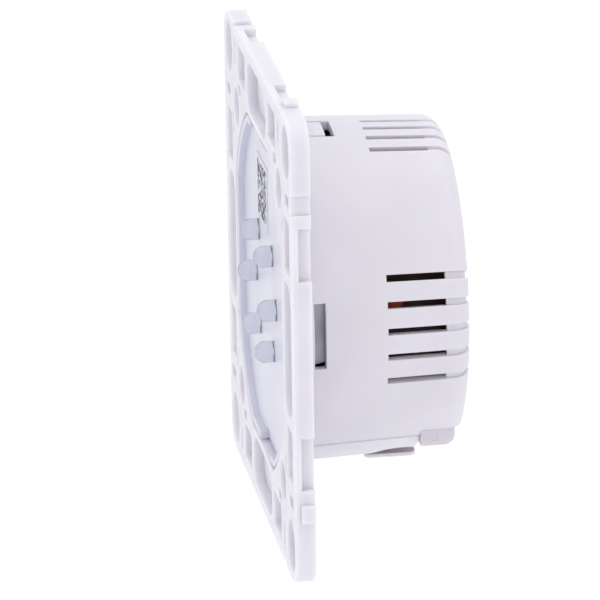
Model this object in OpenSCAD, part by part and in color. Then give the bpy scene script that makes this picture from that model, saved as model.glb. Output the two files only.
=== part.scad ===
// Touch wall thermostat module for a round in-wall box: square mounting frame, window cover,
// touch board, power board, terminal block with rising clamps, and a round rear housing.
// X to the right seen from the front, Z up, the front faces -Y, millimetres.
// The origin is the centre of the frame's rear face, which lies on the wall.

/* [Frame] */
// Width and height of the square mounting frame
frame_w = 71; // [68:0.5:80]
// Thickness of the frame
frame_t = 3; // [2.4:0.1:4]
// Corner radius of the frame
corner_r = 4.5; // [2:0.1:6]
// Radius of the round opening in the frame
opening_r = 27.5; // [26:0.1:29]
// Half width of the opening across its four flats
opening_flat = 25; // [24.6:0.1:26]
// Thickness of the ledge that the window cover rests on
ledge_t = 0.8; // [0.6:0.1:1.2]
// Depth of the round seat for the housing in the frame's rear face
seat_d = 0.2; // [0.1:0.05:0.4]
// Distance between the two box screws
screw_spacing = 60; // [59:0.5:61]
// Width of a screw slot
slot_w = 3.6; // [3.2:0.1:4]
// Length of a screw slot
slot_l = 5.6; // [4.4:0.1:6]
// How far the joining nubs stand out of the frame edge
nub_h = 0.65; // [0.4:0.05:1]

/* [Window] */
// Gap between the window cover and the frame
window_gap = 0.5; // [0.3:0.05:0.7]
// Depth of the cover's face behind the frame's front face
window_set = 1.2; // [1:0.1:1.4]
// Thickness of the cover's face
window_t = 0.8; // [0.6:0.1:1]
// Diameter of the clear light pipes
pipe_d = 3.3; // [2.6:0.1:3.8]
// Length of the straight part of a light pipe in front of the cover
pipe_l = 1.4; // [0.8:0.1:1.8]

/* [Housing] */
// Radius of the housing where it meets the frame
housing_r = 26.2; // [26:0.05:26.8]
// Depth of the housing behind the frame
housing_d = 25.3; // [24.6:0.1:28]
// Wall thickness of the housing
wall = 1.4; // [1.2:0.1:1.6]
// Loss of radius per millimetre of depth
taper = 0.041; // [0.02:0.001:0.045]
// Radius of the rounded rear edge
rear_r = 2.6; // [1.8:0.1:3]
// Width of a ventilation slot
vent_w = 1.05; // [0.8:0.05:1.3]
// Distance from the frame to the start of the ventilation slots
vent_y = 12.7; // [11:0.1:15]
// Distance from the frame to the end of the ventilation slots
vent_end = 21.6; // [19:0.1:22]
// Depth of the groove that carries each slot on round the rear edge
groove_d = 0.45; // [0.3:0.05:0.6]
// Angle between neighbouring side slots
side_vent_step = 9; // [8:0.5:10]
// Angle between neighbouring top slots
top_vent_step = 7.1; // [6:0.1:8]

/* [Terminals] */
// Distance between neighbouring terminals
pitch = 5; // [5:0.01:5.08]
// Width of the terminal block
block_w = 35.2; // [34:0.1:35.6]
// Radius of a terminal screw's head
head_r = 1.9; // [1.7:0.05:1.9]
// Radius of a terminal screw's shank
shank_r = 1.25; // [1:0.05:1.3]
// Radial running clearance round the screws
run_gap = 0.05; // [0.02:0.01:0.1]

/* [Hidden] */
$fn = 64;

half = frame_w / 2;
front_y = -frame_t;
face_y = front_y + window_set;
seat_r = housing_r + 0.35;
board1_y = 0.9;
board1_t = 1.2;
board2_y = 7.4;
board2_t = 1.6;
board_r = 23.6;
rear2_y = board2_y + board2_t;
block_y = 18.7;
block_end = housing_d - 1.45;
block_low = -20.4;
block_top = -11.6;
cut_z = -17.65;
clip_r = housing_r - wall - taper * block_end - 0.25;
screw_y = 21.2;
side_rise = 0.4;
side_half = 5.05;
wire_x = 7.7;
wire_y = 16.4;
wire_r = 4.5;
tongue_x = 8.6;
tongue_y = wire_y - wire_r - 0.3;
tongue_end = 19.4;
tongue_low = -24.95;
tongue_t = 0.6;
arm_w = 5.2;
arm_l = 6.7;
arm_gap = 0.5;
flat_in = 0.1;
rib_h = 0.2;
pocket_d = 1.7;
pipe_step = max(pipe_l, 0.42 * pipe_d);
pipe_at = [[7.2, 7.5], [-7.2, 7.5], [10.4, 0], [-10.4, 0], [7.2, -7.5], [-7.2, -7.5]];
boss_at = [[-16.6, -8.2], [13.2, 15.6], [-14.6, 13.6]];
spacer_at = [[-19.6, 0], [19.6, 0], [-11.5, -17.5], [11.5, -17.5]];

// ---- helpers ----

// a flat shape drawn as (X, Z) and thickened along Y
module along_y(y0, h) {
    translate([0, y0, 0]) rotate([-90, 0, 0]) linear_extrude(height = h) mirror([0, 1]) children();
}

// a profile drawn as (radius, Y) and turned round the Y axis
module turned_y() {
    rotate([-90, 0, 0]) rotate_extrude($fn = 96) children();
}

// a cone frustum round the Y axis
module cone_y(y0, y1, r0, r1) {
    translate([0, y0, 0]) rotate([-90, 0, 0]) cylinder(h = y1 - y0, r1 = r0, r2 = r1, $fn = 96);
}

// a box between two corners
module span(a, b) {
    translate(a) cube([b[0] - a[0], b[1] - a[1], b[2] - a[2]]);
}

// a rectangle with rounded corners, centred
module round_rect(w, h, r) {
    square([w - 2 * r, h], center = true);
    square([w, h - 2 * r], center = true);
    for (i = [-1, 1]) for (j = [-1, 1]) translate([i * (w / 2 - r), j * (h / 2 - r)]) circle(r);
}

// a cylinder along Y
module rod_y(x, z, y0, h, r) {
    translate([x, y0, z]) rotate([-90, 0, 0]) cylinder(h = h, r = r);
}

// a cylinder along Z
module rod_z(x, y, z0, h, r) {
    translate([x, y, z0]) cylinder(h = h, r = r);
}

// the round opening with its four flats, grown or shrunk by g
module opening_shape(g) {
    intersection() {
        circle(opening_r + g, $fn = 96);
        square(2 * (opening_flat + g), center = true);
    }
}

// ---- frame ----

// one edge's joining details, drawn for the right-hand edge
module edge_cuts() {
    for (z = [12, -20.1]) span([half - 1.2, -1.95, z], [half + 1, 1, z + 8.1]);
    span([half - 0.6, front_y - 1, 22.1], [half + 1, 1, 25.1]);
}

module edge_nub() {
    span([half - 1, -2.1, -25], [half + nub_h, 0, -22.2]);
}

// one edge's relief pockets in the front face, drawn for the right-hand edge
module edge_pockets() {
    translate([29.75, 0]) round_rect(7.9, 20.6, 3.4);
    for (s = [-1, 1]) {
        translate([30.4, s * 16.1]) round_rect(5.6, 8.2, 0.7);
        translate([31.3, s * 23.2]) round_rect(4, 1.8, 0.6);
        translate([26.2, s * 19]) round_rect(1.7, 3.4, 0.6);
    }
    translate([30.3, 30.3]) circle(4);
    translate([22.6, 22.6]) circle(3.1);
}

// one snap arm, drawn at the top
module snap_arm() {
    r = housing_r;
    intersection() {
        turned_y() polygon([[r - 1.25, -ledge_t / 2], [r, -ledge_t / 2], [r - 0.05, 0],
            [r - 0.05 - taper * arm_l, arm_l], [r - 2.6, arm_l], [r - 2.3, 5.5], [r - 1.25, 5.5]]);
        span([0, -1, 20], [arm_w, 8, 30]);
    }
}

module mounting_frame() color("white") {
    difference() {
        union() {
            along_y(front_y, frame_t) round_rect(frame_w, frame_w, corner_r);
            for (a = [0:90:270]) rotate([0, a, 0]) edge_nub();
        }
        for (a = [0:90:270]) rotate([0, a, 0]) edge_cuts();
        along_y(front_y - 1, frame_t + 1 - ledge_t) opening_shape(0);
        along_y(-2, 3) circle(opening_flat - 1.4, $fn = 96);
        along_y(-seat_d, 1) circle(seat_r, $fn = 96);
        for (a = [0:90:270]) {
            along_y(front_y - 1, 1 + pocket_d) rotate(a) edge_pockets();
            along_y(front_y - 1, frame_t + 2) rotate(a) translate([screw_spacing / 2, 0])
                round_rect(slot_l, slot_w, slot_w / 2 - 0.001);
        }
    }
    for (a = [0, 180]) rotate([0, a, 0]) snap_arm();
}

// ---- window ----

module window_cover() color("lightsteelblue") {
    difference() {
        along_y(front_y + 0.15, frame_t - 0.15 - ledge_t) opening_shape(-window_gap);
        along_y(front_y - 1, 1 + window_set) opening_shape(-window_gap - 1);
        along_y(face_y + window_t, 2) circle(opening_flat - 2.2, $fn = 96);
        for (a = [0, 180]) rotate([0, a, 0]) span([-8, -4, 22.6], [2.5, face_y + 0.3, 26]);
        for (p = pipe_at) rod_y(p[0], p[1], -4, 6, 1.15);
    }
}

module code_label() color("white") {
    span([-8, face_y - 0.12, 9.6], [2.7, face_y, 19.7]);
}

module light_pipes() color("white", 0.6) {
    for (p = pipe_at) {
        rod_y(p[0], p[1], face_y - pipe_step, pipe_step, pipe_d / 2);
        translate([p[0], face_y - pipe_step, p[1]]) sphere(pipe_d / 2);
        rod_y(p[0], p[1], face_y - 0.5, 1.9, 1.05);
    }
}

// ---- touch board ----

module touch_board() color("darkgreen") {
    along_y(board1_y, board1_t) difference() {
        intersection() {
            circle(24, $fn = 96);
            square([45.2, 50], center = true);
        }
        for (p = spacer_at) translate(p) circle(1.1);
    }
}

module indicator_leds() color("ivory") {
    for (p = pipe_at) span([p[0] - 0.8, 0.2, p[1] - 0.6], [p[0] + 0.8, board1_y, p[1] + 0.6]);
    for (x = [-4, 4]) span([x - 0.8, 0.4, -17.4], [x + 0.8, board1_y, -16.6]);
}

module digit_display() color("dimgray") {
    span([-6.2, -0.9, -4.2], [6.2, board1_y, 4.2]);
}

module controller_chip() color("black") {
    span([-16.5, board1_y + board1_t + 0.1, 2], [-9.5, board1_y + board1_t + 1.1, 9]);
}

module controller_leads() color("silver") {
    y0 = board1_y + board1_t;
    for (i = [0:7]) {
        z = 2.6 + i * 0.83;
        for (x = [-17.4, -9.5]) span([x, y0, z - 0.15], [x + 0.9, y0 + 0.3, z + 0.15]);
    }
}

module crystal_can() color("silver") {
    y0 = board1_y + board1_t;
    along_y(y0, 1.3) translate([-13, -2.4]) round_rect(7, 3.2, 1.5);
}

module buzzer() color("black") {
    difference() {
        rod_y(12.5, 5.5, board1_y + board1_t, 2, 4.5);
        rod_y(12.5, 5.5, board1_y + board1_t + 1.2, 2, 0.8);
    }
}

module backup_cell() color("silver") {
    rod_y(0, 15.4, board1_y + board1_t + 0.3, 1.6, 4.8);
}

module cell_clip() color("goldenrod") {
    y0 = board1_y + board1_t;
    span([-1.2, y0 + 1.9, 9.6], [1.2, y0 + 2.15, 16]);
    span([-1.2, y0, 9.35], [1.2, y0 + 2.15, 9.6]);
}

module board_header() color("black") {
    span([-7, board2_y - 2.4, -15.3], [7, board2_y, -12.7]);
    for (i = [-2.5:1:2.5]) span([i * 2.54 - 0.3, 3.2, -14.3], [i * 2.54 + 0.3, board2_y, -13.7]);
}

module board_socket() color("dimgray") {
    y0 = board1_y + board1_t;
    difference() {
        span([-7, y0, -15.3], [7, board2_y - 2.4, -12.7]);
        for (i = [-2.5:1:2.5]) span([i * 2.54 - 0.4, 3.1, -14.4], [i * 2.54 + 0.4, 6, -13.6]);
    }
}

module temperature_sensor() color("black") {
    y0 = board1_y + board1_t;
    rod_z(14.5, y0 + 1.2, -16.6, 2, 1.1);
    for (x = [13.9, 14.9]) {
        span([x, y0 + 1, -14.8], [x + 0.2, y0 + 1.2, -10.5]);
        span([x, y0, -10.7], [x + 0.2, y0 + 1.2, -10.5]);
    }
}

// ---- between the boards ----

module steel_bracket() color("lightslategray") {
    difference() {
        along_y(4.7, 0.8) intersection() {
            square([47.8, 22], center = true);
            circle(24.2, $fn = 96);
        }
        span([-8, 4, -12], [8, 6, -6]);
        rod_y(0, 4, 4, 2, 3);
        for (p = spacer_at) rod_y(p[0], p[1], 4, 2, 1.9);
    }
    for (x = [23.1, -23.9]) difference() {
        span([x, 1, -4.4], [x + 0.8, 5.5, 5.5]);
        translate([0, 1.7, -4.5]) rotate([14, 0, 0]) translate([-25, -2, -2]) cube([50, 8, 2]);
    }
}

module insulation_sheet() color("khaki") {
    along_y(board2_y - 1.5, 0.4) difference() {
        circle(22.5, $fn = 96);
        translate([0, -14]) square([16, 6], center = true);
        for (p = boss_at) translate(p) circle(3.4);
        for (p = spacer_at) translate(p) circle(1.7);
    }
}

module board_spacers() color("whitesmoke") {
    y0 = board1_y + board1_t;
    for (p = spacer_at) {
        rod_y(p[0], p[1], y0, board2_y - y0, 1.5);
        rod_y(p[0], p[1], y0 - 1.9, 2, 1);
    }
}

// ---- power board ----

module power_board() color("saddlebrown") {
    along_y(board2_y, board2_t) difference() {
        circle(board_r, $fn = 96);
        for (p = boss_at) translate(p) circle(1.35);
    }
}

module relay() color("royalblue") {
    span([-7.6, rear2_y, -9.8], [7.6, rear2_y + 12.6, 9.2]);
    for (x = [-6, 6]) for (z = [-8, 7.6])
        span([x - 0.4, board2_y - 1, z - 0.3], [x + 0.4, board2_y, z + 0.3]);
}

module transformer_core() color("dimgray") {
    difference() {
        span([-10.6, rear2_y + 1, 10.6], [1.5, rear2_y + 12, 20]);
        span([-8.6, rear2_y + 3, 10], [-5.8, rear2_y + 10, 22]);
        span([-3.3, rear2_y + 3, 10], [-0.5, rear2_y + 10, 22]);
    }
}

module transformer_winding() color("gold") {
    difference() {
        span([-8.5, rear2_y + 3.1, 9.8], [-0.6, rear2_y + 9.9, 20.8]);
        span([-5.8, rear2_y + 2, 9], [-3.3, rear2_y + 13, 22]);
    }
    for (x = [-8, -1.9]) span([x, rear2_y, 9.8], [x + 0.7, rear2_y + 3.1, 10.5]);
}

module mains_capacitors() color("black") {
    for (p = [[5.9, 14.2], [-15, 4.6]]) {
        rod_y(p[0], p[1], rear2_y + 0.4, 12.4, 4);
        for (d = [-1, 1]) rod_y(p[0] + d, p[1], rear2_y, 0.6, 0.3);
    }
}

module film_capacitor() color("maroon") {
    span([15.2, rear2_y + 1, -8.6], [20.4, rear2_y + 13.4, 9.4]);
    for (z = [-7, 7.6]) rod_y(17.8, z, rear2_y, 1.2, 0.35);
}

module varistor() color("steelblue") {
    translate([10, rear2_y + 6, -5]) rotate([0, 90, 0]) cylinder(h = 3.4, r = 4.6);
    for (z = [-7.5, -2.5]) rod_y(11.7, z, rear2_y, 4, 0.35);
}

module ceramic_capacitors() color("orangered") {
    translate([20.9, 13.4, 4.8]) rotate([0, 90, 0]) cylinder(h = 1.7, r = 2.2);
    rod_y(21.7, 4.8, rear2_y, 3, 0.25);
    translate([20.9, 13.6, -7.4]) rotate([0, 90, 0]) cylinder(h = 1.5, r = 2.1);
    rod_y(21.5, -7.4, rear2_y, 3, 0.25);
}

module fuse() color("tan") {
    translate([9, rear2_y + 2, 6.6]) rotate([0, 90, 0]) cylinder(h = 5.6, r = 1.6);
    rod_y(11.8, 6.6, rear2_y, 1, 0.4);
}

module bridge_rectifier() color("black") {
    span([-14.6, rear2_y, -5], [-9.4, rear2_y + 2.6, -0.4]);
}

module board_screws() color("silver") {
    for (p = boss_at) difference() {
        union() {
            rod_y(p[0], p[1], board2_y - 1.5, 1.5, 2.3);
            rod_y(p[0], p[1], board2_y - 1, 8, 1.1);
        }
        span([p[0] - 3, board2_y - 2, p[1] - 0.35], [p[0] + 3, board2_y - 0.9, p[1] + 0.35]);
    }
}

// ---- terminals ----

module terminal_block() color("gainsboro") {
    difference() {
        union() {
            intersection() {
                span([-block_w / 2, block_y, cut_z - 0.5], [block_w / 2, block_end - 0.9, block_top]);
                rod_y(0, 0, 10, 20, clip_r);
            }
            intersection() {
                span([-block_w / 2, block_y, cut_z - 0.5], [block_w / 2, block_end, block_top]);
                rod_y(0, 0, 10, 20, clip_r - 0.8);
            }
            difference() {
                span([-block_w / 2, block_y, block_low], [block_w / 2, block_end, cut_z - 0.1]);
                difference() {
                    span([-20, block_end - 1.6, block_low - 1], [20, block_end + 1, block_low + 1.6]);
                    translate([-21, block_end - 1.6, block_low + 1.6])
                        rotate([0, 90, 0]) cylinder(h = 42, r = 1.6);
                }
            }
        }
        for (i = [0:5]) translate([(i - 2.5) * pitch, 0, 0]) {
            rod_z(0, screw_y, block_low - 1, 2.4, head_r + run_gap);
            rod_z(0, screw_y, block_low - 1, 3, shank_r + 0.2);
            span([-2.1, screw_y - 1.8, -18.7], [2.1, screw_y + 1.75, -12.3]);
            span([-1.45, screw_y + 1.4, -15.4], [1.45, block_end + 1, -13]);
            span([-1.5, block_y - 1, -16.3], [1.5, screw_y - 1.6, -15.4]);
        }
        for (s = [-1, 1]) translate([s * (block_w / 2 - 0.05), screw_y - 0.4, -19.2])
            rotate([0, s * 90, 0]) cylinder(h = 1, r = 0.5);
    }
}

module terminal_bars() color("goldenrod") {
    for (i = [0:5]) translate([(i - 2.5) * pitch, 0, 0])
        span([-1.4, rear2_y, -16.2], [1.4, screw_y + 1.5, -15.5]);
}

// a rising clamp, in its open position
module clamp(n) color("silver") translate([(n - 3.5) * pitch, 0, 0]) {
    difference() {
        span([-2, screw_y - 1.5, -17.05], [2, screw_y + 1.5, -12.4]);
        span([-1.5, screw_y - 1.6, -16.25], [1.5, screw_y + 2, -13.1]);
        rod_z(0, screw_y, -18, 2, shank_r + run_gap);
    }
}

// a clamp screw, its head facing down
module clamp_screw(n) color("silver") translate([(n - 3.5) * pitch, 0, 0]) {
    difference() {
        union() {
            rod_z(0, screw_y, -20.25, 1.2, head_r);
            rod_z(0, screw_y, -19.5, 3.25, shank_r);
        }
        span([-3, screw_y - 0.3, -21], [3, screw_y + 0.3, -19.6]);
    }
}

// ---- housing ----

// the housing's round body, shrunk by g
module housing_body(g) {
    y0 = g > 0 ? -1 : -seat_d;
    y1 = housing_d - g;
    rr = rear_r - g;
    ys = y1 - rr;
    rs = housing_r - g - taper * ys;
    cone_y(y0, ys, rs + taper * (ys - y0), rs);
    turned_y() translate([rs - rr, ys]) circle(rr, $fn = 48);
    rod_y(0, 0, ys - 1, rr + 1, rs - rr);
}

// one ventilation slot, at angle a above the level, ending at y1
module vent(a, y1) {
    rotate([0, -a, 0]) span([20.5, vent_y, -vent_w / 2], [30, y1, vent_w / 2]);
}

// all the slots, both sides and the top
module vents(y1) {
    for (i = [-2:2]) {
        vent(i * side_vent_step + 1, y1);
        vent(180 - i * side_vent_step - 1, y1);
    }
    for (i = [0:3]) vent(90 - i * top_vent_step, y1);
}

module rear_housing() color("white") {
    difference() {
        union() {
            difference() {
                housing_body(0);
                housing_body(wall);
            }
            for (p = boss_at) rod_y(p[0], p[1], rear2_y, housing_d - wall - rear2_y + 0.2, 3);
            // a thin rib along each side, above the flats
            intersection() {
                cone_y(0, block_y, housing_r + rib_h, housing_r + rib_h - taper * block_y);
                for (a = [48.6, 131.4]) rotate([0, a, 0]) span([25.2, 0.5, -0.4], [30, block_y - 0.1, 0.4]);
            }
        }
        // flats low on both sides
        for (a = [61, 119]) rotate([0, a, 0]) translate([housing_r - flat_in, 0, 0])
            rotate([0, 0, atan(taper)]) span([0, -5, -20], [20, 40, 20]);
        // ventilation slots, and the shallow grooves that carry them round the rear edge
        vents(vent_end);
        difference() {
            vents(housing_d + 1);
            housing_body(groove_d);
        }
        // side windows over the steel bracket
        for (x = [20, -30]) span([x, 1.65, side_rise - side_half], [x + 10, 3.4, side_rise + side_half]);
        // notches for the snap arms
        for (a = [0, 180]) rotate([0, a, 0]) span([-arm_gap, -1, 20], [arm_w + arm_gap + 0.05, 8, 30]);
        // screw holes in the bosses
        for (p = boss_at) rod_y(p[0], p[1], rear2_y - 1, 8, 1.15);
        // opening for the terminal block
        span([-30, block_y, -30], [30, 40, cut_z]);
        intersection() {
            span([-block_w / 2 - 0.2, block_y, cut_z - 1], [block_w / 2 + 0.2, 40, block_top + 0.2]);
            rod_y(0, 0, 10, 20, clip_r - 0.6);
        }
        // rounded opening in front of the terminals
        for (s = [-1, 1]) rod_z(s * wire_x, wire_y, -30, 12, wire_r);
        span([-wire_x, wire_y - wire_r, -30], [wire_x, wire_y + wire_r, -18]);
    }
    // flat tongue below that opening
    translate([0, (tongue_y + tongue_end) / 2, tongue_low])
        linear_extrude(height = tongue_t) round_rect(2 * tongue_x, tongue_end - tongue_y, 1);
}

mounting_frame();
window_cover();
code_label();
light_pipes();
touch_board();
indicator_leds();
digit_display();
controller_chip();
controller_leads();
crystal_can();
buzzer();
backup_cell();
cell_clip();
board_header();
board_socket();
temperature_sensor();
steel_bracket();
insulation_sheet();
board_spacers();
power_board();
relay();
transformer_core();
transformer_winding();
mains_capacitors();
film_capacitor();
varistor();
ceramic_capacitors();
fuse();
bridge_rectifier();
board_screws();
terminal_block();
terminal_bars();
clamp(1);  // terminal_clamp_1
clamp(2);  // terminal_clamp_2
clamp(3);  // terminal_clamp_3
clamp(4);  // terminal_clamp_4
clamp(5);  // terminal_clamp_5
clamp(6);  // terminal_clamp_6
clamp_screw(1);  // terminal_screw_1
clamp_screw(2);  // terminal_screw_2
clamp_screw(3);  // terminal_screw_3
clamp_screw(4);  // terminal_screw_4
clamp_screw(5);  // terminal_screw_5
clamp_screw(6);  // terminal_screw_6
rear_housing();
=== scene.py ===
import math

import bmesh
import bpy
from mathutils import Matrix, Vector
from mathutils.geometry import delaunay_2d_cdt


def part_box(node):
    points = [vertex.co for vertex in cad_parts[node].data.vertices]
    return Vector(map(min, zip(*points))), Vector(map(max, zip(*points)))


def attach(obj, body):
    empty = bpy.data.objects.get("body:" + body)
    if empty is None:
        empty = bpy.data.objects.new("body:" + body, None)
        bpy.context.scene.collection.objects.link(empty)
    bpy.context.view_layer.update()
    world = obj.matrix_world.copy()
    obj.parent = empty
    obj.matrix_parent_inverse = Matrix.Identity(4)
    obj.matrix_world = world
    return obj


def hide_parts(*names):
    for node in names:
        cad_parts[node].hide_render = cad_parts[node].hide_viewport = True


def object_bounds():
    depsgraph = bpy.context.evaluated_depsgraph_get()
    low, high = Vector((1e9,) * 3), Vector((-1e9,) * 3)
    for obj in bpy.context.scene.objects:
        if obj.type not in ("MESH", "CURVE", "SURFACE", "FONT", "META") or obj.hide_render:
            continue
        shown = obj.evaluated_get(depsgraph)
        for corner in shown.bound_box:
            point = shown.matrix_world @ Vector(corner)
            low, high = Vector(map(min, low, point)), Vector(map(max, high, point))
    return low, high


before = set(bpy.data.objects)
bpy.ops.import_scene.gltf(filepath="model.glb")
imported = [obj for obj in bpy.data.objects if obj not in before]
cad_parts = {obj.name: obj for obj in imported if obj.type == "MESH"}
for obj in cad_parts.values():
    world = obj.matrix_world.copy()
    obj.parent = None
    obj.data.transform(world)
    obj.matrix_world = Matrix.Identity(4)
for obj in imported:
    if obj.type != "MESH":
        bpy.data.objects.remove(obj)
cad_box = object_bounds()
MM = 0.001

# ---------------------------------------------------------------------------
# The studio: a pale seamless floor well below the module, which hangs clear as it
# would on a wall, an even white surround and three broad soft lights.
# ---------------------------------------------------------------------------


def hex_linear(code):
    """An sRGB hex colour as linear RGBA."""
    parts = [int(code[i:i + 2], 16) / 255 for i in (1, 3, 5)]
    return [c / 12.92 if c <= 0.04045 else ((c + 0.055) / 1.055) ** 2.4 for c in parts] + [1.0]


def add(tree, kind, settings=None, links=None):
    """Adds a node; settings set attributes or input values, links join its inputs to outputs."""
    node = tree.nodes.new(kind)
    for key, value in (settings or {}).items():
        if isinstance(key, int) or key in node.inputs:
            node.inputs[key].default_value = value
        else:
            setattr(node, key, value)
    for key, (source, output) in (links or {}).items():
        tree.links.new(source.outputs[output], node.inputs[key])
    return node


def new_material(name):
    """An empty node material, its tree and its output node."""
    material = bpy.data.materials.new(name)
    material.use_nodes = True
    tree = material.node_tree
    tree.nodes.clear()
    return material, tree, tree.nodes.new("ShaderNodeOutputMaterial")


def two_tones(tree, source, output, dark, light, low=0.3, high=0.7):
    """A colour ramp between two hex colours, driven by one output."""
    ramp = add(tree, "ShaderNodeValToRGB", {}, {"Fac": (source, output)})
    ramp.color_ramp.elements[0].position = low
    ramp.color_ramp.elements[0].color = hex_linear(dark)
    ramp.color_ramp.elements[1].position = high
    ramp.color_ramp.elements[1].color = hex_linear(light)
    return ramp


scene = bpy.context.scene
scene.view_settings.view_transform = "Standard"

world = bpy.data.worlds.new("white_surround")
scene.world = world
world.use_nodes = True
world.node_tree.nodes["Background"].inputs["Color"].default_value = hex_linear("#FEFEFF")
world.node_tree.nodes["Background"].inputs["Strength"].default_value = 1.0

floor_size = 6.0
floor_drop = 0.12
bm = bmesh.new()
bmesh.ops.create_grid(bm, x_segments=24, y_segments=24, size=floor_size / 2)
floor_mesh = bpy.data.meshes.new("studio_floor")
bm.to_mesh(floor_mesh)
bm.free()
studio_floor = bpy.data.objects.new("studio_floor", floor_mesh)
scene.collection.objects.link(studio_floor)
studio_floor.location.z = cad_box[0][2] - floor_drop
paper, tree, out = new_material("matt_white_paper")
fibre = add(tree, "ShaderNodeTexNoise", {"Scale": 900.0, "Detail": 3.0})
tone = two_tones(tree, fibre, "Fac", "#F6F6F8", "#FCFCFD")
sheet = add(tree, "ShaderNodeBsdfPrincipled", {"Roughness": 0.9}, {"Base Color": (tone, "Color")})
tree.links.new(sheet.outputs[0], out.inputs["Surface"])
floor_mesh.materials.append(paper)


def soft_light(name, place, aim, size, power):
    """A square area light at place, turned towards aim."""
    lamp = bpy.data.lights.new(name, "AREA")
    lamp.size = size
    lamp.energy = power
    holder = bpy.data.objects.new(name, lamp)
    scene.collection.objects.link(holder)
    holder.location = place
    holder.rotation_euler = (Vector(aim) - Vector(place)).to_track_quat("-Z", "Y").to_euler()


soft_light("overhead_softbox", (0.0, 0.15, 0.9), (0, 0, 0), 0.8, 1.8)
soft_light("side_softbox", (0.9, 0.2, 0.2), (0, 0, 0), 0.6, 0.35)

soft_light("front_softbox", (0.5, -0.9, 0.35), (0, 0, 0), 0.8, 1.0)

# The camera looks at the module's right side, nearly along its frame.
view_azimuth = math.radians(81.92)
view_elevation = math.radians(17.62)
view_roll = math.radians(-0.946)
view_distance = 0.900
aim_right = 3.23 * MM
aim_up = -1.66 * MM
camera_data = bpy.data.cameras.new("camera")
camera_data.lens = 356.7
camera_data.sensor_width = 36.0
camera_data.clip_start = 0.05
camera = bpy.data.objects.new("camera", camera_data)
scene.collection.objects.link(camera)
back = Vector((math.sin(view_azimuth) * math.cos(view_elevation),
               -math.cos(view_azimuth) * math.cos(view_elevation),
               math.sin(view_elevation)))
level = (-back).cross(Vector((0, 0, 1))).normalized()
rise = level.cross(-back)
right = math.cos(view_roll) * level + math.sin(view_roll) * rise
up = -math.sin(view_roll) * level + math.cos(view_roll) * rise
eye = aim_right * right + aim_up * up + view_distance * back
camera.matrix_world = Matrix.Translation(eye) @ Matrix((right, up, back)).transposed().to_4x4()
scene.camera = camera

# ---------------------------------------------------------------------------
# Mounting frame: one white polycarbonate moulding with relief pockets in front,
# joining nubs on the edges and two snap arms behind.
# ---------------------------------------------------------------------------


def rimmed(node, name, rims, steps=3):
    """Copies a CAD node and rounds the rims of its flat faces.

    Each rim is (depth of the face in mm, the way it faces along Y, radius in mm). The face is
    set back by the radius inside its outlines, joined to the walls by a quarter round and
    filled again with triangles, spread from the outlines' inner sides."""
    bm = bmesh.new()
    bm.from_mesh(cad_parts[node].data)
    bmesh.ops.remove_doubles(bm, verts=bm.verts[:], dist=0.002 * MM)
    for depth, facing, radius in rims:
        out = Vector((0, facing, 0))
        flat = {f for f in bm.faces if all(abs(v.co.y - depth * MM) < 0.002 * MM for v in f.verts)}
        ahead = {loop.vert: loop.link_loop_next.vert for f in flat for loop in f.loops
                 if any(other not in flat for other in loop.edge.link_faces)}
        behind = {after: v for v, after in ahead.items()}
        rows = {}
        for v, after in ahead.items():
            first = out.cross((v.co - behind[v].co).normalized())
            second = out.cross((after.co - v.co).normalized())
            lean = (first + second) / max(0.5, 1 + first.dot(second))
            rows[v] = []
            for i in range(1, steps + 1):
                turn = math.radians(90 * i / steps)
                shift = lean * (1 - math.cos(turn)) + out * (math.sin(turn) - 1)
                rows[v].append(v.co + radius * MM * shift)
        bmesh.ops.delete(bm, geom=list(flat), context="FACES")
        for v, spots in rows.items():
            v.co -= out * radius * MM
            rows[v] = [v] + [bm.verts.new(spot) for spot in spots]
        for v, after in ahead.items():
            for i in range(steps):
                strip = bm.faces.new((rows[v][i], rows[after][i], rows[after][i + 1], rows[v][i + 1]))
                strip.smooth = True
        order = {v: i for i, v in enumerate(ahead)}
        tops = [rows[v][-1] for v in ahead]
        spots = [Vector((v.co.x, v.co.z)) / MM for v in tops]
        edges = [(order[v], order[after]) for v, after in ahead.items()]
        filled = delaunay_2d_cdt(spots, edges, [], 1, 0.00001)
        triangles = [[filled[3][i][0] for i in triangle] for triangle in filled[2]]
        beside = {}
        for number, (a, b, c) in enumerate(triangles):
            beside.update({(a, b): number, (b, c): number, (c, a): number})
        walls = set(edges) | {(b, a) for a, b in edges}
        queue = [beside[(a, b) if facing < 0 else (b, a)] for a, b in edges]
        kept = set()
        while queue:
            number = queue.pop()
            if number in kept:
                continue
            kept.add(number)
            a, b, c = triangles[number]
            over = [side for side in ((b, a), (c, b), (a, c)) if side not in walls]
            queue += [beside[side] for side in over if side in beside]
        for number in kept:
            bm.faces.new([tops[i] for i in triangles[number]])
    bmesh.ops.recalc_face_normals(bm, faces=bm.faces[:])
    mesh = bpy.data.meshes.new(name)
    bm.to_mesh(mesh)
    bm.free()
    if "custom_normal" in mesh.attributes:
        mesh.attributes.remove(mesh.attributes["custom_normal"])
    mesh.set_sharp_from_angle(angle=math.radians(35))
    mesh.materials.clear()
    piece = bpy.data.objects.new(name, mesh)
    scene.collection.objects.link(piece)
    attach(piece, "thermostat")
    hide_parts(node)
    return piece


def dress(node, material):
    """Puts one material on a CAD node."""
    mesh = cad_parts[node].data
    mesh.materials.clear()
    mesh.materials.append(material)


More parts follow.
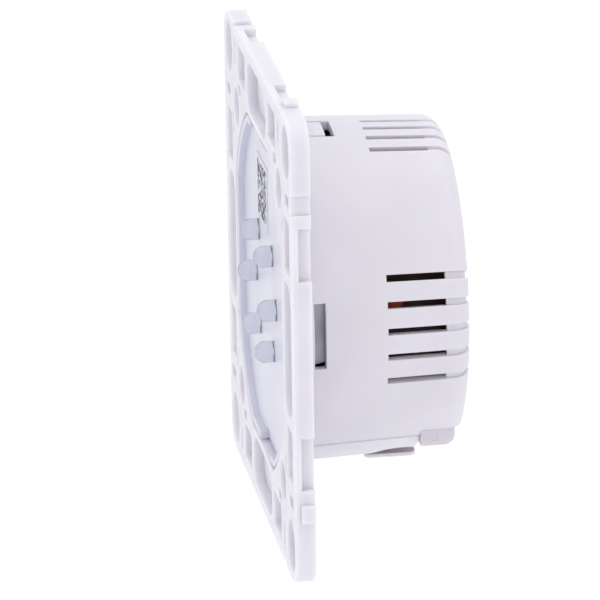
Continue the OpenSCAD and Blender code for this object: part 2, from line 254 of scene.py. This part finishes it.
def moulded_plastic(name, colour, shade, roughness, grain_mm, depth_mm, glow=0.0, edge_mm=0.15,
                    reach_mm=0.9):
    """Satin moulded plastic: slow change of tone, the fine grain of a spark-eroded mould, a
    little light passing through thin walls, and edges as round as the mould leaves them."""
    material, tree, out = new_material(name)
    place = add(tree, "ShaderNodeTexCoord")
    patch = add(tree, "ShaderNodeTexNoise", {"Scale": 90.0, "Detail": 2.0}, {"Vector": (place, "Object")})
    tone = two_tones(tree, patch, "Fac", shade, colour)
    grain = add(tree, "ShaderNodeTexNoise", {"Scale": 1.0 / (grain_mm * MM), "Detail": 4.0},
                {"Vector": (place, "Object")})
    edge = add(tree, "ShaderNodeBevel", {"samples": 4, "Radius": edge_mm * MM})
    bump = add(tree, "ShaderNodeBump", {"Strength": 0.35, "Distance": depth_mm * MM},
               {"Height": (grain, "Fac"), "Normal": (edge, "Normal")})
    rough = add(tree, "ShaderNodeMapRange", {"To Min": roughness - 0.05, "To Max": roughness + 0.07},
                {"Value": (grain, "Fac")})
    shell = add(tree, "ShaderNodeBsdfPrincipled",
                {"IOR": 1.58, "Subsurface Weight": glow, "Subsurface Radius": (1.0, 0.86, 0.86),
                 "Subsurface Scale": reach_mm * MM},
                {"Base Color": (tone, "Color"), "Roughness": (rough, "Result"), "Normal": (bump, "Normal")})
    tree.links.new(shell.outputs[0], out.inputs["Surface"])
    return material


# Moulded polycarbonate, cool white: a satin surface with a soft sheen and no visible grain
# beyond a faint texture, drawn at 0.3 mm because the real 0.05 mm grit would not show.
white_polycarbonate = moulded_plastic("moulded_white_polycarbonate", "#DAD9E0", "#D6D4DC",
                                      roughness=0.42, grain_mm=0.3, depth_mm=0.015, glow=0.8, reach_mm=2.0)
front_depth = -3.0
front_rim = 0.2
frame_piece = rimmed("mounting_frame", "rounded_mounting_frame", [(front_depth, -1, front_rim)])
frame_piece.data.materials.append(white_polycarbonate)

# ---------------------------------------------------------------------------
# Window cover: a round frosted polycarbonate disc with four flats, which drops
# into the frame's opening and rests on its ledge.
# ---------------------------------------------------------------------------

# Frosted polycarbonate: milky, and cooler and darker than the frame.
frosted_polycarbonate, tree, out = new_material("moulded_frosted_polycarbonate")
place = add(tree, "ShaderNodeTexCoord")
cloud = add(tree, "ShaderNodeTexNoise", {"Scale": 60.0, "Detail": 3.0}, {"Vector": (place, "Object")})
tone = two_tones(tree, cloud, "Fac", "#C9C9D8", "#D1D1DF")
frost = add(tree, "ShaderNodeTexNoise", {"Scale": 3500.0, "Detail": 3.0}, {"Vector": (place, "Object")})
bump = add(tree, "ShaderNodeBump", {"Strength": 0.25, "Distance": 0.01 * MM}, {"Height": (frost, "Fac")})
rough = add(tree, "ShaderNodeMapRange", {"To Min": 0.26, "To Max": 0.38}, {"Value": (frost, "Fac")})
milk = add(tree, "ShaderNodeBsdfPrincipled", {"IOR": 1.58},
           {"Base Color": (tone, "Color"), "Roughness": (rough, "Result"), "Normal": (bump, "Normal")})
tree.links.new(milk.outputs[0], out.inputs["Surface"])
cover_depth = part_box("window_cover")[0][1] / MM
cover_rim = 0.15
cover_piece = rimmed("window_cover", "rounded_window_cover", [(cover_depth, -1, cover_rim)])
cover_piece.data.materials.append(frosted_polycarbonate)

# ---------------------------------------------------------------------------
# Code label: a small printed paper sticker on the cover, above the light pipes.
# The block pattern is random and spells nothing.
# ---------------------------------------------------------------------------

label_low, label_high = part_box("code_label")
block_size = 0.55 * MM
quiet_edge = 0.8 * MM
# Coated label paper with thermal print: matt white, with dark grey blocks.
printed_label, tree, out = new_material("printed_coated_paper")
place = add(tree, "ShaderNodeTexCoord")
axes = add(tree, "ShaderNodeSeparateXYZ", {}, {"Vector": (place, "Object")})


def inside(tree, axis, low, high):
    """One between low and high along an axis, and zero outside."""
    above = add(tree, "ShaderNodeMath", {"operation": "GREATER_THAN", 1: low}, {0: (axes, axis)})
    below = add(tree, "ShaderNodeMath", {"operation": "LESS_THAN", 1: high}, {0: (axes, axis)})
    return add(tree, "ShaderNodeMath", {"operation": "MULTIPLY"}, {0: (above, 0), 1: (below, 0)})


across = inside(tree, "X", label_low[0] + quiet_edge, label_high[0] - quiet_edge)
height = inside(tree, "Z", label_low[2] + quiet_edge, label_high[2] - quiet_edge)
field = add(tree, "ShaderNodeMath", {"operation": "MULTIPLY"}, {0: (across, 0), 1: (height, 0)})
cell = add(tree, "ShaderNodeVectorMath", {"operation": "SCALE", "Scale": 1.0 / block_size},
           {0: (place, "Object")})
cell_id = add(tree, "ShaderNodeVectorMath", {"operation": "FLOOR"}, {0: (cell, 0)})
flat_id = add(tree, "ShaderNodeVectorMath", {"operation": "MULTIPLY", 1: (1.0, 0.0, 1.0)}, {0: (cell_id, 0)})
chance = add(tree, "ShaderNodeTexWhiteNoise", {"noise_dimensions": "3D"}, {"Vector": (flat_id, 0)})
filled = add(tree, "ShaderNodeMath", {"operation": "GREATER_THAN", 1: 0.42}, {0: (chance, "Value")})
printed = add(tree, "ShaderNodeMath", {"operation": "MULTIPLY"}, {0: (filled, 0), 1: (field, 0)})
fibre = add(tree, "ShaderNodeTexNoise", {"Scale": 4000.0, "Detail": 3.0}, {"Vector": (place, "Object")})
blank = two_tones(tree, fibre, "Fac", "#CECEDA", "#D8D8E2")
ink = two_tones(tree, fibre, "Fac", "#3A393E", "#5A585E")
face = add(tree, "ShaderNodeMix", {"data_type": "RGBA"}, {"Factor": (printed, 0), 6: (blank, 0), 7: (ink, 0)})
sheet = add(tree, "ShaderNodeBsdfPrincipled", {"Roughness": 0.55, "IOR": 1.45}, {"Base Color": (face, 2)})
tree.links.new(sheet.outputs[0], out.inputs["Surface"])
dress("code_label", printed_label)

# ---------------------------------------------------------------------------
# Light pipes: six clear acrylic pegs, pressed through the cover from the front,
# each with a round head and a turned-down stem over its own indicator.
# ---------------------------------------------------------------------------


def lathe(name, profile, places, steps=40):
    """Turns a profile of (radius, depth) in mm round the Y axis at each (x, z) in mm."""
    bm = bmesh.new()
    for x, z in places:
        rings = []
        for radius, depth in profile:
            ring = []
            for i in range(steps if radius > 0 else 1):
                turn = 2 * math.pi * i / steps
                spot = (x + radius * math.cos(turn), depth, z + radius * math.sin(turn))
                ring.append(bm.verts.new([MM * c for c in spot]))
            rings.append(ring)
        for front, rear in zip(rings, rings[1:]):
            for i in range(steps):
                a, b = front[i % len(front)], front[(i + 1) % len(front)]
                c, d = rear[(i + 1) % len(rear)], rear[i % len(rear)]
                corners = [v for k, v in enumerate((a, b, c, d)) if v not in (a, b, c, d)[:k]]
                bm.faces.new(corners)
    bmesh.ops.recalc_face_normals(bm, faces=bm.faces[:])
    mesh = bpy.data.meshes.new(name)
    bm.to_mesh(mesh)
    bm.free()
    for polygon in mesh.polygons:
        polygon.use_smooth = True
    mesh.set_sharp_from_angle(angle=math.radians(40))
    piece = bpy.data.objects.new(name, mesh)
    scene.collection.objects.link(piece)
    return piece


pipe_low, pipe_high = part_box("light_pipes")
face_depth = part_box("code_label")[1][1] / MM
tip = pipe_low[1] / MM
head_r = 1.65
stem_r = 1.05
pipe_places = [(7.2, 7.5), (-7.2, 7.5), (10.4, 0), (-10.4, 0), (7.2, -7.5), (-7.2, -7.5)]
dome = [(head_r * math.sin(a), tip + head_r * (1 - math.cos(a))) for a in
        [math.radians(10 * i) for i in range(10)]]
peg = dome + [(head_r, face_depth - 0.12), (head_r - 0.12, face_depth), (stem_r, face_depth),
              (stem_r, pipe_high[1] / MM - 0.1), (stem_r - 0.1, pipe_high[1] / MM), (0, pipe_high[1] / MM)]
light_pipes = lathe("clear_light_pipes", peg, pipe_places)
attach(light_pipes, "thermostat")
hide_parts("light_pipes")

# Polished acrylic: nearly clear with a little milk in it, a sharp highlight and faint flow lines.
clear_acrylic, tree, out = new_material("moulded_clear_acrylic")
place = add(tree, "ShaderNodeTexCoord")
flow = add(tree, "ShaderNodeTexNoise", {"Scale": 500.0, "Detail": 2.0}, {"Vector": (place, "Object")})
tint = two_tones(tree, flow, "Fac", "#E6E9F3", "#EEF0F8")
bump = add(tree, "ShaderNodeBump", {"Strength": 0.1, "Distance": 0.02 * MM}, {"Height": (flow, "Fac")})
clear = add(tree, "ShaderNodeBsdfPrincipled",
            {"IOR": 1.49, "Roughness": 0.04, "Transmission Weight": 0.82},
            {"Base Color": (tint, "Color"), "Normal": (bump, "Normal")})
tree.links.new(clear.outputs[0], out.inputs["Surface"])
light_pipes.data.materials.append(clear_acrylic)

# ---------------------------------------------------------------------------
# Touch board: a glass-epoxy board in green solder mask right behind the cover.
# It carries the indicators, the display and the controller.
# ---------------------------------------------------------------------------


def laminate(name, mask, track, step_mm, roughness):
    """A coated circuit board: copper tracks show as paler lines under the lacquer."""
    material, tree, out = new_material(name)
    place = add(tree, "ShaderNodeTexCoord")
    lines = add(tree, "ShaderNodeTexVoronoi", {"feature": "DISTANCE_TO_EDGE", "distance": "MANHATTAN",
                                               "Scale": 1.0 / (step_mm * MM), "Randomness": 0.55},
                {"Vector": (place, "Object")})
    tone = two_tones(tree, lines, "Distance", track, mask, 0.06, 0.09)
    weave = add(tree, "ShaderNodeTexNoise", {"Scale": 2200.0, "Detail": 2.0}, {"Vector": (place, "Object")})
    bump = add(tree, "ShaderNodeBump", {"Strength": 0.2, "Distance": 0.02 * MM}, {"Height": (weave, "Fac")})
    coat = add(tree, "ShaderNodeBsdfPrincipled", {"IOR": 1.52, "Roughness": roughness},
               {"Base Color": (tone, "Color"), "Normal": (bump, "Normal")})
    tree.links.new(coat.outputs[0], out.inputs["Surface"])
    return material


def soften(node, width, segments=2, angle=28):
    """Gives a simple CAD solid the small rounded edges that a mould or a dip leaves."""
    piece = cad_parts[node]
    weld = piece.modifiers.new("weld", "WELD")
    weld.merge_threshold = 0.002 * MM
    flat = piece.modifiers.new("flat", "DECIMATE")
    flat.decimate_type = "DISSOLVE"
    flat.angle_limit = math.radians(0.6)
    bevel = piece.modifiers.new("bevel", "BEVEL")
    bevel.width = width * MM
    bevel.segments = segments
    bevel.limit_method = "ANGLE"
    bevel.angle_limit = math.radians(angle)
    bevel.use_clamp_overlap = True


# Glass-epoxy laminate under green lacquer: glossy, with lighter green tracks.
glass_epoxy = laminate("green_lacquered_glass_epoxy", "#1C4A33", "#2F6B4A", 3.2, 0.32)
dress("touch_board", glass_epoxy)


def moulded_black(name, dark, light, roughness):
    """Moulded component packages: near-black epoxy with a fine matt grain."""
    material, tree, out = new_material(name)
    place = add(tree, "ShaderNodeTexCoord")
    grain = add(tree, "ShaderNodeTexNoise", {"Scale": 3000.0, "Detail": 3.0}, {"Vector": (place, "Object")})
    tone = two_tones(tree, grain, "Fac", dark, light)
    bump = add(tree, "ShaderNodeBump", {"Strength": 0.25, "Distance": 0.015 * MM}, {"Height": (grain, "Fac")})
    body = add(tree, "ShaderNodeBsdfPrincipled", {"IOR": 1.5, "Roughness": roughness},
               {"Base Color": (tone, "Color"), "Normal": (bump, "Normal")})
    tree.links.new(body.outputs[0], out.inputs["Surface"])
    return material


def plated_metal(name, dark, light, roughness, streak_mm, stretch):
    """Plated sheet or wire: metallic, with cloudy tone and drawn streaks along one axis."""
    material, tree, out = new_material(name)
    place = add(tree, "ShaderNodeTexCoord")
    drawn = add(tree, "ShaderNodeMapping", {"Scale": stretch}, {"Vector": (place, "Object")})
    streak = add(tree, "ShaderNodeTexNoise", {"Scale": 1.0 / (streak_mm * MM), "Detail": 3.0},
                 {"Vector": (drawn, "Vector")})
    cloud = add(tree, "ShaderNodeTexNoise", {"Scale": 160.0, "Detail": 2.0}, {"Vector": (place, "Object")})
    tone = two_tones(tree, cloud, "Fac", dark, light)
    rough = add(tree, "ShaderNodeMapRange", {"To Min": roughness - 0.08, "To Max": roughness + 0.08},
                {"Value": (streak, "Fac")})
    edge = add(tree, "ShaderNodeBevel", {"samples": 4, "Radius": 0.12 * MM})
    bump = add(tree, "ShaderNodeBump", {"Strength": 0.15, "Distance": 0.01 * MM},
               {"Height": (streak, "Fac"), "Normal": (edge, "Normal")})
    metal = add(tree, "ShaderNodeBsdfPrincipled", {"Metallic": 1.0},
                {"Base Color": (tone, "Color"), "Roughness": (rough, "Result"), "Normal": (bump, "Normal")})
    tree.links.new(metal.outputs[0], out.inputs["Surface"])
    return material


# Indicators: white moulded packages under the pipes.
led_package = moulded_plastic("moulded_indicator_package", "#E8E4D6", "#DDD8C8", 0.35, 0.3, 0.01)
# Digit display: a dark grey filled epoxy block behind the frosted cover.
display_epoxy = moulded_black("cast_grey_display_epoxy", "#2A2A2E", "#34343A", 0.3)
# Controller and rectifier: moulded epoxy, matt and nearly black.
package_epoxy = moulded_black("moulded_package_epoxy", "#1A1A1C", "#242426", 0.5)
# Leads: tinned copper, bright with a soft haze.
tinned_copper = plated_metal("tinned_copper_leads", "#B4B4B6", "#C8C8CA", 0.3, 0.3, (1, 1, 1))
# Crystal can and backup cell: drawn nickel-plated steel, with faint rings of drawing.
nickel_steel = plated_metal("drawn_nickel_plated_steel", "#A8A8AC", "#C0C0C4", 0.25, 0.2, (1, 6, 1))
# Cell clip: spring brass strip, yellow and lightly rolled.
spring_brass = plated_metal("rolled_spring_brass", "#B08A4A", "#C49C58", 0.3, 0.2, (8, 1, 1))
# Pin headers: glass-filled nylon, dull black.
header_nylon = moulded_black("moulded_black_nylon", "#161618", "#202024", 0.6)

soften("indicator_leds", 0.08)
dress("indicator_leds", led_package)
soften("digit_display", 0.15)
dress("digit_display", display_epoxy)
soften("controller_chip", 0.08)
dress("controller_chip", package_epoxy)
dress("controller_leads", tinned_copper)
soften("crystal_can", 0.3)
dress("crystal_can", nickel_steel)
dress("buzzer", header_nylon)
soften("backup_cell", 0.2)
dress("backup_cell", nickel_steel)
dress("cell_clip", spring_brass)
dress("temperature_sensor", package_epoxy)
dress("board_header", header_nylon)
dress("board_socket", header_nylon)

# ---------------------------------------------------------------------------
# Between the boards: a folded zinc-plated steel bracket, whose ends show in the
# side windows, an insulating sheet behind it and four nylon spacers.
# ---------------------------------------------------------------------------

# Zinc-plated steel: dull blue-grey, rolled along the strip, with cloudy patches of passivation.
zinc_steel = plated_metal("zinc_plated_sheet_steel", "#9694A1", "#B4B2C0", 0.5, 0.4, (1, 1, 0.15))
dress("steel_bracket", zinc_steel)

# Pressboard: buff, matt and slightly fibrous.
pressboard = moulded_plastic("calendered_pressboard", "#C9BC93", "#BFB188", 0.75, 0.4, 0.03)
dress("insulation_sheet", pressboard)
# Nylon 6: off-white and waxy.
natural_nylon = moulded_plastic("moulded_natural_nylon", "#DAD9D0", "#D3D2C8", 0.5, 0.3, 0.01)
dress("board_spacers", natural_nylon)

# ---------------------------------------------------------------------------
# Power board: a brown phenolic board with the relay, the small transformer and
# the mains parts, screwed to three bosses of the housing.
# ---------------------------------------------------------------------------

# Phenolic paper laminate: reddish brown, with paler tracks.
phenolic_paper = laminate("punched_phenolic_paper", "#5A3A24", "#7A4E30", 3.6, 0.45)
dress("power_board", phenolic_paper)


def dipped_coat(name, dark, light, roughness):
    """Dipped epoxy coating: glossy, uneven in tone, with the low waves of a dried dip."""
    material, tree, out = new_material(name)
    place = add(tree, "ShaderNodeTexCoord")
    wave = add(tree, "ShaderNodeTexNoise", {"Scale": 420.0, "Detail": 2.0}, {"Vector": (place, "Object")})
    tone = two_tones(tree, wave, "Fac", dark, light)
    bump = add(tree, "ShaderNodeBump", {"Strength": 0.3, "Distance": 0.08 * MM}, {"Height": (wave, "Fac")})
    coat = add(tree, "ShaderNodeBsdfPrincipled", {"IOR": 1.55, "Roughness": roughness, "Coat Weight": 0.3},
               {"Base Color": (tone, "Color"), "Normal": (bump, "Normal")})
    tree.links.new(coat.outputs[0], out.inputs["Surface"])
    return material


# Relay: a moulded dark blue case with a soft gloss.
relay_case = moulded_plastic("moulded_blue_polyester", "#1D3A78", "#193368", 0.35, 0.4, 0.01)
# Transformer core: sintered ferrite, charcoal grey with a fine matt grain.
sintered_ferrite = moulded_black("sintered_ferrite", "#2B2B2E", "#3C3C40", 0.5)
# Winding: yellow polyester tape, glossy, with the low waves of its turns.
winding_tape = dipped_coat("wound_polyester_tape", "#C79A1E", "#D8AC2C", 0.25)
# Film capacitor: maroon-brown dipped epoxy.
maroon_epoxy = dipped_coat("dipped_maroon_epoxy", "#3E2526", "#4E3030", 0.35)
# Varistor: blue dipped epoxy.
blue_epoxy = dipped_coat("dipped_blue_epoxy", "#16325E", "#1D3F74", 0.35)
# Ceramic capacitors: orange dipped epoxy.
orange_epoxy = dipped_coat("dipped_orange_epoxy", "#A8441F", "#BE5228", 0.35)
# Fuse: a pale ceramic tube.
fuse_ceramic = moulded_plastic("pressed_pale_ceramic", "#C9B48C", "#BFA97F", 0.4, 0.3, 0.01)
# Screws: zinc-plated steel, brighter than the bracket.
zinc_screw = plated_metal("zinc_plated_screw_steel", "#A0A1A8", "#B8B9C0", 0.32, 0.25, (1, 1, 1))

soften("relay", 0.4)
dress("relay", relay_case)
dress("transformer_core", sintered_ferrite)
dress("transformer_winding", winding_tape)
soften("film_capacitor", 0.6, 3, 60)
dress("film_capacitor", maroon_epoxy)
soften("varistor", 0.5, 3)
dress("varistor", blue_epoxy)
soften("ceramic_capacitors", 0.3, 3)
dress("ceramic_capacitors", orange_epoxy)
soften("fuse", 0.2)
dress("fuse", fuse_ceramic)
soften("bridge_rectifier", 0.2)
dress("bridge_rectifier", package_epoxy)
dress("board_screws", zinc_screw)

# Mains capacitors: aluminium cans in plain sleeves, with the crimp near the leads
# and the shrunk edge of the sleeve round a sunken top.
can_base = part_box("power_board")[1][1] / MM
can_r = 4.0
can_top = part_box("mains_capacitors")[1][1] / MM
can_low = can_base + 0.4
can = [(0, can_low + 0.5), (2.6, can_low + 0.5), (2.9, can_low), (can_r - 0.3, can_low),
       (can_r, can_low + 0.4), (can_r, can_low + 1.5), (can_r - 0.45, can_low + 1.9),
       (can_r - 0.45, can_low + 2.2), (can_r, can_low + 2.6), (can_r, can_top - 0.5),
       (can_r - 0.15, can_top - 0.15), (can_r - 0.5, can_top), (can_r - 0.9, can_top),
       (can_r - 1.0, can_top - 0.15), (0, can_top - 0.15)]
mains_cans = lathe("sleeved_mains_capacitors", can, [(5.9, 14.2), (-15, 4.6)], 48)
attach(mains_cans, "thermostat")
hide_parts("mains_capacitors")
# PVC sleeve: near-black and glossy, shrunk tight over the can.
shrunk_sleeve = dipped_coat("shrunk_black_sleeve", "#15151C", "#20202A", 0.3)
mains_cans.data.materials.append(shrunk_sleeve)

# ---------------------------------------------------------------------------
# Terminals: a grey nylon block with six sliding clamps, each drawn towards the head
# of its own screw, over tinned brass bars from the power board.
# ---------------------------------------------------------------------------

# Glass-filled nylon: light warm grey, a little duller than the housing.
terminal_nylon = moulded_plastic("moulded_grey_nylon", "#D3CCD6", "#CDC7D1",
                                 roughness=0.5, grain_mm=0.3, depth_mm=0.02, glow=0.3)
dress("terminal_block", terminal_nylon)
# Tinned brass: pale yellow-grey strip.
tinned_brass = plated_metal("tinned_brass_strip", "#A8946A", "#BCA87C", 0.3, 0.25, (1, 0.2, 1))
dress("terminal_bars", tinned_brass)
for number in range(1, 7):
    dress("terminal_clamp_%d" % number, zinc_screw)
    dress("terminal_screw_%d" % number, zinc_screw)

# ---------------------------------------------------------------------------
# Rear housing: a deep round cup in the frame's polycarbonate, with slots for the
# warm air, windows over the bracket and the cut for the terminals.
# ---------------------------------------------------------------------------

# The same polycarbonate, slightly duller and a touch warmer than the frame.
housing_polycarbonate = moulded_plastic("textured_white_polycarbonate", "#DAD7DF", "#D5D2DA",
                                        roughness=0.45, grain_mm=0.3, depth_mm=0.02, glow=0.6,
                                        edge_mm=0.2, reach_mm=1.2)
dress("rear_housing", housing_polycarbonate)
